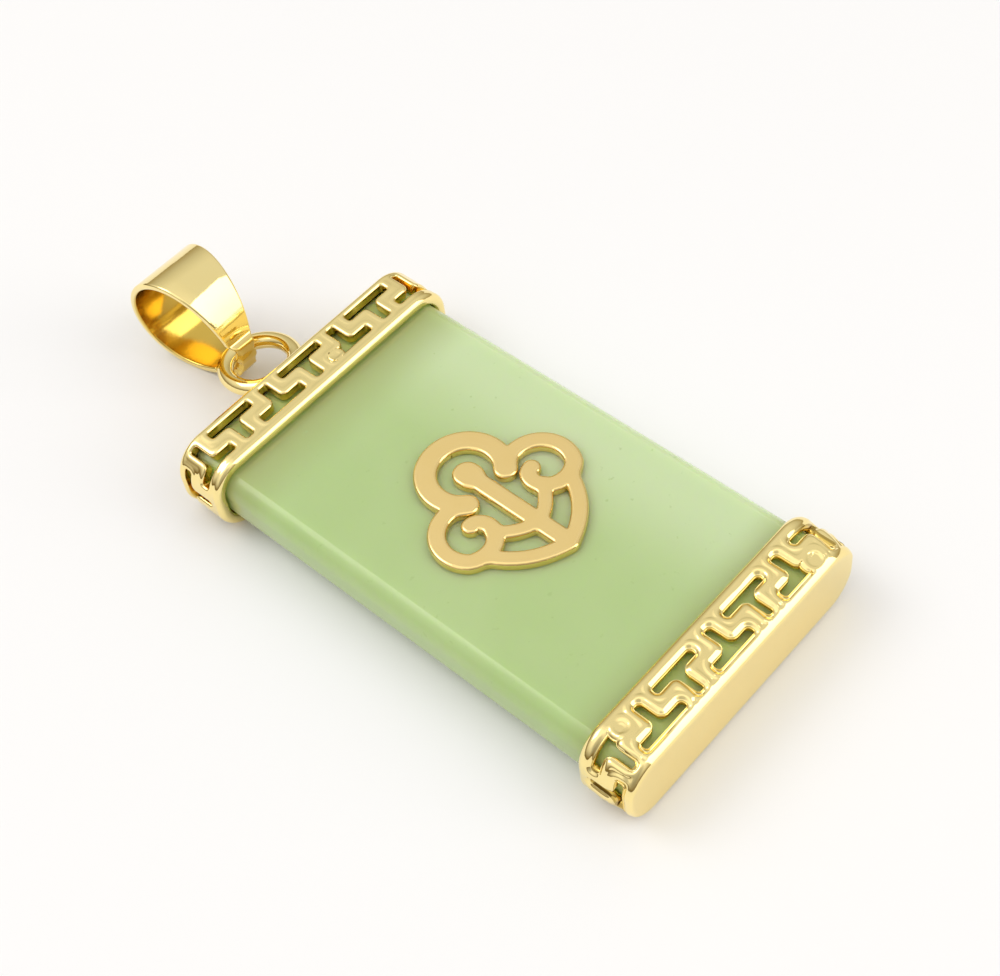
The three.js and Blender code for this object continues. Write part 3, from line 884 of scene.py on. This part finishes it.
def emblem_strokes():
    """Every stroke as its line, (n, 2), and its width."""
    degrees = np.linspace(VOLUTE_ANGLES["start"], VOLUTE_ANGLES["end"], VOLUTE_STEPS)
    turned = (VOLUTE_ANGLES["tighten"] - degrees) / (VOLUTE_ANGLES["tighten"] - VOLUTE_ANGLES["end"])
    wound = np.clip(turned, 0, 1)
    spiral = VOLUTE["radius"] * (1 - wound) + VOLUTE["inner"] * wound
    volute = polar_line(VOLUTE["x"], VOLUTE["y"], spiral, degrees)
    sweep = np.linspace(-LOBE["open"], 180 + LOBE["open"], LOBE_STEPS)
    lobe = polar_line(0, LOBE["y"], LOBE["radius"], sweep)
    stem = np.array([[0, STEM["top"]], [0, STEM["bottom"]]])
    bulb = np.array([[0, STEM["top"]], [0, STEM["top"] - STEM["bulb"] / 8]])
    return [
        (lobe, LOBE["stroke"]),
        (volute, VOLUTE["stroke"]),
        (volute * (-1, 1), VOLUTE["stroke"]),
        (stem, STEM["stroke"]),
        (bulb, STEM["bulb"]),
        (bend_line(HEEL["bend"]), HEEL["stroke"]),
        (bend_line(LEAF["bend"]), LEAF["stroke"]),
    ]


print("emblem strokes:", len(emblem_strokes()))

# %% [markdown]
# ### The emblem's plate
# The ornament was sawn from sheet and its edge was rounded with a file. The sheet tools do the same: they
# cut the plate along the field and give it a rounded edge. The grid's cells are square and small enough for
# the tightest scroll, and the plate lies at the height that the frame gives.

# %% Cut the emblem
EMBLEM_CELL = 0.0605
EMBLEM_EDGE = 0.2
STROKE_FILLET = 0.35


def stroke_distance(points, line, width):
    """Distance to a stroke's edge, negative inside: to the nearest part of its line, less half its width."""
    step = line[1:] - line[:-1]
    offset = points[:, None] - line[:-1]
    share = np.clip((offset * step).sum(-1) / (step**2).sum(-1), 0, 1)
    return np.linalg.norm(offset - share[..., None] * step, axis=-1).min(axis=1) - width / 2


def emblem_field(points):
    """The distance from the emblem's edge, positive in the metal."""
    total = None
    for line, width in emblem_strokes():
        distance = stroke_distance(points, line, width)
        total = distance if total is None else soft_min(total, distance, STROKE_FILLET)
    return -total


emblem_low, emblem_high = node_box("emblem")
emblem_middle = (slab_low[1] + slab_high[1]) / 2
margin = 2 * EMBLEM_CELL
across = np.arange(emblem_low[0] - margin, emblem_high[0] + margin, EMBLEM_CELL)
along = np.arange(emblem_low[1] - margin, emblem_high[1] + margin, EMBLEM_CELL) - emblem_middle
thickness = emblem_high[2] - emblem_low[2]
plate = cut_sheet(*np.meshgrid(across, along), emblem_field, EMBLEM_EDGE)
flat, faces, lip = lipped_plate(plate, bullnose(EMBLEM_EDGE, thickness, 0, EMBLEM_EDGE / 4))
emblem = mesh_piece("cloud_emblem", [(flat + (0, emblem_middle, emblem_low[2]), faces)], edge=lip)
fit_to_frame(emblem, "emblem", rose_gold.material)

# %% [markdown]
# ## The ring
# The ring is a piece of round wire, bent to an oval and soldered to the top cap, from which it droops a
# little. A torus would do for a loose ring, but this one is flattened and thickened where the solder holds
# it. It is a circle carried round an oval: the wire swells near the cap, and whatever would reach into the
# cap is pressed flat on its end face.

# %% Bend the ring
RING_X = -0.48
RING_Z = 2.84
RING_HALF_WIDTH = 2.2
RING_HALF_LENGTH = 2.58
RING_WIRE = 1.1
RING_DROOP = math.radians(12)
RING_SOLDER = 0.15
SOLDER_START = 0.55
SOLDER_SWELL = 0.3
RING_STEPS = 144
WIRE_SIDES = 28


def ring_points():
    """An oval in a plane that droops from the cap, with a circle of wire set square to it at every step."""
    turn = np.linspace(0, 2 * math.pi, RING_STEPS, endpoint=False)[:, None]
    side = np.linspace(0, 2 * math.pi, WIRE_SIDES, endpoint=False)[None, :]
    out_across = RING_HALF_LENGTH * np.cos(turn)
    out_along = RING_HALF_WIDTH * np.sin(turn)
    length = np.hypot(out_across, out_along)
    near = (RING_HALF_LENGTH + RING_WIRE / 2) * math.cos(RING_DROOP)
    solder = np.clip(-np.sin(turn) - SOLDER_START, 0, 1) / (1 - SOLDER_START)
    wire = RING_WIRE / 2 * (1 + SOLDER_SWELL * solder**2)
    x = RING_HALF_WIDTH * np.cos(turn) + wire * np.cos(side) * out_across / length
    y = RING_HALF_LENGTH * np.sin(turn) + wire * np.cos(side) * out_along / length
    under = wire * np.sin(side)
    place_y = TOP_END + near - RING_SOLDER + y * math.cos(RING_DROOP) - under * math.sin(RING_DROOP)
    place_z = RING_Z - y * math.sin(RING_DROOP) - under * math.cos(RING_DROOP)
    grids = [x + RING_X, np.maximum(place_y, TOP_END), place_z]
    return np.column_stack([grid.ravel() for grid in grids])


def closed_grid(rows, columns):
    """The cells of a grid that closes on itself both ways."""
    cells = grid_cells(rows + 1, columns, wrap=True)
    return cells % (rows * columns)


ring = mesh_piece("wire_ring", [(ring_points(), [closed_grid(RING_STEPS, WIRE_SIDES)])])
fit_to_frame(ring, "hanging_ring", gold.material)

# %% [markdown]
# ## The bail
# The bail is a tapered strip of sheet gold, folded into a drop with its two tips soldered together under
# the ring. A curve with a bevel could make it, but its width and its thickness change on the way, so it is
# a section carried round a drop-shaped loop. The loop is a formula: how far along, half of one minus a
# cosine, and how high, a sine drawn in towards the tip.

# %% Draw the bail's loop
BAIL_TIP = (TOP_END + 4.41, 2.06)
BAIL_TILT = math.radians(29.9)
BAIL_LENGTH = 8.23
BAIL_BULGE = 4.8
BAIL_TAPER = 0.26
NUB_TURN = 0.68
SEAM_REACH = 0.1
STRIP_STEPS = 104
SEAM_STEPS = 20
NUB_STEPS = 52


def bail_turns():
    """Steps round the loop, with short ones where the strip meets the nub: (n, 1)."""
    seam = np.array([NUB_TURN - SEAM_REACH, NUB_TURN + SEAM_REACH])
    marks = np.concatenate([[-math.pi], -seam[::-1], seam, [math.pi]])
    counts = [STRIP_STEPS, SEAM_STEPS, NUB_STEPS, SEAM_STEPS, STRIP_STEPS]
    runs = [np.linspace(start, end, n, endpoint=False) for start, end, n in zip(marks, marks[1:], counts)]
    return np.concatenate(runs)[:, None]


def bail_loop(turn):
    """How far along the loop's own axis, and its place in Y and Z; turn runs from the tip over the top."""
    along = BAIL_LENGTH * (1 - np.cos(turn)) / 2
    lift = BAIL_BULGE * np.sin(turn) * np.abs(np.sin(turn / 2)) ** BAIL_TAPER
    y = BAIL_TIP[0] + along * math.cos(BAIL_TILT) - lift * math.sin(BAIL_TILT)
    z = BAIL_TIP[1] + along * math.sin(BAIL_TILT) + lift * math.cos(BAIL_TILT)
    return along, y, z


print(f"the bail's loop is {BAIL_LENGTH} mm long, in {len(bail_turns())} steps")

# %% [markdown]
# ### The bail's strip
# The strip widens towards the far end, and at the tip it turns into a small lumpy cast nub. The two could
# be separate pieces, but they are one piece of metal, so the section itself changes on the way: a rounded
# rectangle whose width, thickness and rounding ease from the strip's to the nub's. Two waves that run askew
# give the nub its lumps.

# %% Fold the bail
BAIL_X = -0.7
BAIL_THICKNESS = 0.45
BAIL_EDGE = 0.17
BAIL_TIP_WIDTH = 1.26
BAIL_FAR_WIDTH = 4.76
BAIL_WIDTH_POWER = 0.7
NUB_BLEND = 0.035
NUB_WIDTH = 1.4
NUB_INSIDE = 0.08
NUB_OUTSIDE = 0.42
NUB_EDGE = 0.23
NUB_LUMP = 0.2
NUB_AMBER = 0.8
LUMPS_ALONG = (9, 14)
LUMPS_ROUND = (2, -1)
LUMP_PHASE = 1
INNER_FACE = (0.3, 1)  # sine of the section's angle, from the strip's edge to its inner face
EDGE_STEPS = 7
QUARTER_TURN = np.linspace(0, math.pi / 2, EDGE_STEPS)
SECTION_ANGLE = np.concatenate([QUARTER_TURN + quarter * math.pi / 2 for quarter in range(4)])
SECTION_SIGN = np.array([[1, 1], [-1, 1], [-1, -1], [1, -1]]).repeat(EDGE_STEPS, axis=0).T


def strip_section(half_width, low, high, edge, swell):
    """Rounded rectangles, one for each row, across by up, swollen about their middles by a share."""
    across = SECTION_SIGN[0] * (half_width - edge) + edge * np.cos(SECTION_ANGLE)
    up = SECTION_SIGN[1] * ((high - low) / 2 - edge) + edge * np.sin(SECTION_ANGLE)
    return across * (1 + swell), (high + low) / 2 + up * (1 + swell)


def nub_lumps(turn):
    """Uneven swelling between -1 and 1: the product of two waves that run askew round the nub."""
    first, second = (a * turn + r * SECTION_ANGLE for a, r in zip(LUMPS_ALONG, LUMPS_ROUND))
    return np.sin(first + LUMP_PHASE) * np.cos(second)


def bail_points():
    """The strip's section at every step of the loop, its up pointing inwards, and its share of painted amber
    shade.
    """
    turn = bail_turns()
    along, y, z = bail_loop(turn)
    _, y_after, z_after = bail_loop(turn + SLOPE_STEP)
    _, y_before, z_before = bail_loop(turn - SLOPE_STEP)
    forward_y, forward_z = y_after - y_before, z_after - z_before
    length = np.hypot(forward_y, forward_z)
    up_y, up_z = forward_z / length, -forward_y / length
    nub = eased(np.abs(turn), NUB_TURN + NUB_BLEND, NUB_TURN - NUB_BLEND)
    strip = BAIL_TIP_WIDTH + (BAIL_FAR_WIDTH - BAIL_TIP_WIDTH) * (along / BAIL_LENGTH) ** BAIL_WIDTH_POWER
    half_width = (strip * (1 - nub) + NUB_WIDTH * nub) / 2
    inner = BAIL_THICKNESS * (1 - nub) + NUB_INSIDE * nub
    edge = BAIL_EDGE * (1 - nub) + NUB_EDGE * nub
    across, up = strip_section(half_width, -NUB_OUTSIDE * nub, inner, edge, NUB_LUMP * nub * nub_lumps(turn))
    grids = [BAIL_X + across, y + up * up_y, z + up * up_z]
    # Painted shade and painted gold-on-gold light: the strip's inner face gets the deeper amber, and most of
    # the nub gets it too.
    painted_amber_shade = eased(np.sin(SECTION_ANGLE), *INNER_FACE) * (1 - nub) + NUB_AMBER * nub
    return np.column_stack([grid.ravel() for grid in grids]), painted_amber_shade.ravel()


points, painted_amber_shade = bail_points()
bail_cells = closed_grid(len(bail_turns()), len(SECTION_ANGLE))
bail = mesh_piece("chain_bail", [(points, [bail_cells])], inside=painted_amber_shade)
fit_to_frame(bail, "bail", gold.material)

# %% [markdown]
# ## The floor
# The pendant lies on a sheet of white paper, lit so brightly that it is almost pure white. A flat grid is
# enough for it. It runs far out, so that a low view hardly shows its edge.

# %% Lay the floor
FLOOR_HALF = 3000.0
FLOOR_STEPS = 9
PAPER = (0.895, 0.895, 0.90)
PAPER_PALE = (0.91, 0.91, 0.915)
PAPER_CLOUD = 120


def floor_points():
    """A flat square grid at the height that the pendant lies on."""
    line = np.linspace(-FLOOR_HALF, FLOOR_HALF, FLOOR_STEPS)
    x, y = np.meshgrid(line, line)
    return np.column_stack([x.ravel(), y.ravel(), np.zeros(x.size)])


paper = Finish("white_paper", Roughness=0.7)
paper.feed("Base Color", paper.blend(paper.noise(PAPER_CLOUD), PAPER, PAPER_PALE))
floor = mesh_piece("floor", [(floor_points(), [grid_cells(FLOOR_STEPS, FLOOR_STEPS)])])
floor.data.materials.append(paper.material)

# %% [markdown]
# ## The sky
# Gold shows what is around it, so the surroundings matter more than the lamps. A picture of a studio would
# do, but a few colours are easier to steer. Two rows of colours run from the horizon to overhead: the left
# one is dark at the horizon and bright above, and the right one is dimmer and more even. They are mixed
# from left to right. The dark horizon gives the metal its deeper bands, and so does a dimmer patch on the
# camera's side, where a person would stand.

# %% Paint the sky
SKY_STRENGTH = 1.6
RIGHT_SKY = [(0.02, (0.24, 0.20, 0.12)), (0.4, (0.37, 0.36, 0.33)), (0.8, (0.49, 0.485, 0.48))]
LEFT_SKY = [(0.05, (0.12, 0.09, 0.04)), (0.4, (0.47, 0.46, 0.45)), (0.8, (0.74, 0.73, 0.725))]
DARK_SIDE = Vector((-0.55, -0.58, 0.60)).normalized()
DARK_SHARE = 0.45
DARK_EDGE = (0.84, 0.95)  # cosine of the angle to the dark side's middle, from outside the patch to inside
RIGHT_FROM_X = 0.3

world = bpy.data.worlds.new("studio")
bpy.context.scene.world = world
world.use_nodes = True
sky = world.node_tree
background = sky.nodes["Background"]
background.inputs["Strength"].default_value = SKY_STRENGTH
direction = sky.nodes.new("ShaderNodeTexCoord").outputs["Generated"]


def sky_ramp(value, *stops):
    """A row of colours that a number between 0 and 1 runs along, each stop a position and a colour."""
    node = sky.nodes.new("ShaderNodeValToRGB")
    stretch = node.color_ramp.elements
    for _ in stops[2:]:
        stretch.new(1.0)
    for element, (position, colour) in zip(stretch, stops):
        element.position = position
        element.color = (*colour, 1)
    sky.links.new(value, node.inputs["Fac"])
    return node.outputs["Color"]


split = sky.nodes.new("ShaderNodeSeparateXYZ")
sky.links.new(direction, split.inputs["Vector"])
toward = sky.nodes.new("ShaderNodeVectorMath")
toward.operation = "DOT_PRODUCT"
toward.inputs[1].default_value = DARK_SIDE
sky.links.new(direction, toward.inputs[0])


def sky_mix(kind, factor, first, second):
    """Two colours of the sky, mixed or multiplied; the factor is a number or another node's output."""
    node = sky.nodes.new("ShaderNodeMixRGB")
    node.blend_type = kind
    if isinstance(factor, (int, float)):
        node.inputs["Fac"].default_value = factor
    else:
        sky.links.new(factor, node.inputs["Fac"])
    sky.links.new(first, node.inputs["Color1"])
    sky.links.new(second, node.inputs["Color2"])
    return node.outputs["Color"]


sides = [sky_ramp(split.outputs["Z"], *stops) for stops in (LEFT_SKY, RIGHT_SKY)]
to_right = sky_ramp(split.outputs["X"], (0.0, (0, 0, 0)), (RIGHT_FROM_X, (1, 1, 1)))
shade = sky_ramp(toward.outputs["Value"], (DARK_EDGE[0], (1, 1, 1)), (DARK_EDGE[1], (1 - DARK_SHARE,) * 3))
light_sky = sky_mix("MULTIPLY", 1, sky_mix("MIX", to_right, *sides), shade)
sky.links.new(light_sky, background.inputs["Color"])
print(f"sky painted, strength {SKY_STRENGTH}")

# %% [markdown]
# ## The lamps
# Small lamps would leave hard shadows and bright dots, so there are two softboxes, which give the gold
# crisp white reflections and the pendant a soft shadow. The tall one stands in front on the right like a
# window, and the smaller one hangs behind on the left like a ceiling panel.

# %% Hang the lamps
LAMP_WHITE = (1.0, 0.985, 0.96)


def lamp(name, place, width, height, power):
    """A softbox at a place, aimed at the middle of the floor; millimetres and watts."""
    light = bpy.data.lights.new(name, "AREA")
    light.shape = "RECTANGLE"
    light.size = width * MM
    light.size_y = height * MM
    light.energy = power
    light.color = LAMP_WHITE
    holder = bpy.data.objects.new(name, light)
    bpy.context.scene.collection.objects.link(holder)
    aim = (-Vector(place)).to_track_quat("-Z", "Y")
    holder.matrix_world = Matrix.Translation(Vector(place) * MM) @ aim.to_matrix().to_4x4()
    print(f"{name}: {width} by {height} mm, {power} W")


lamp("window", (225, -423, 270), width=290, height=640, power=1.05)
lamp("ceiling", (-140, 250, 360), width=240, height=240, power=0.42)
bpy.context.scene.view_settings.view_transform = "Standard"
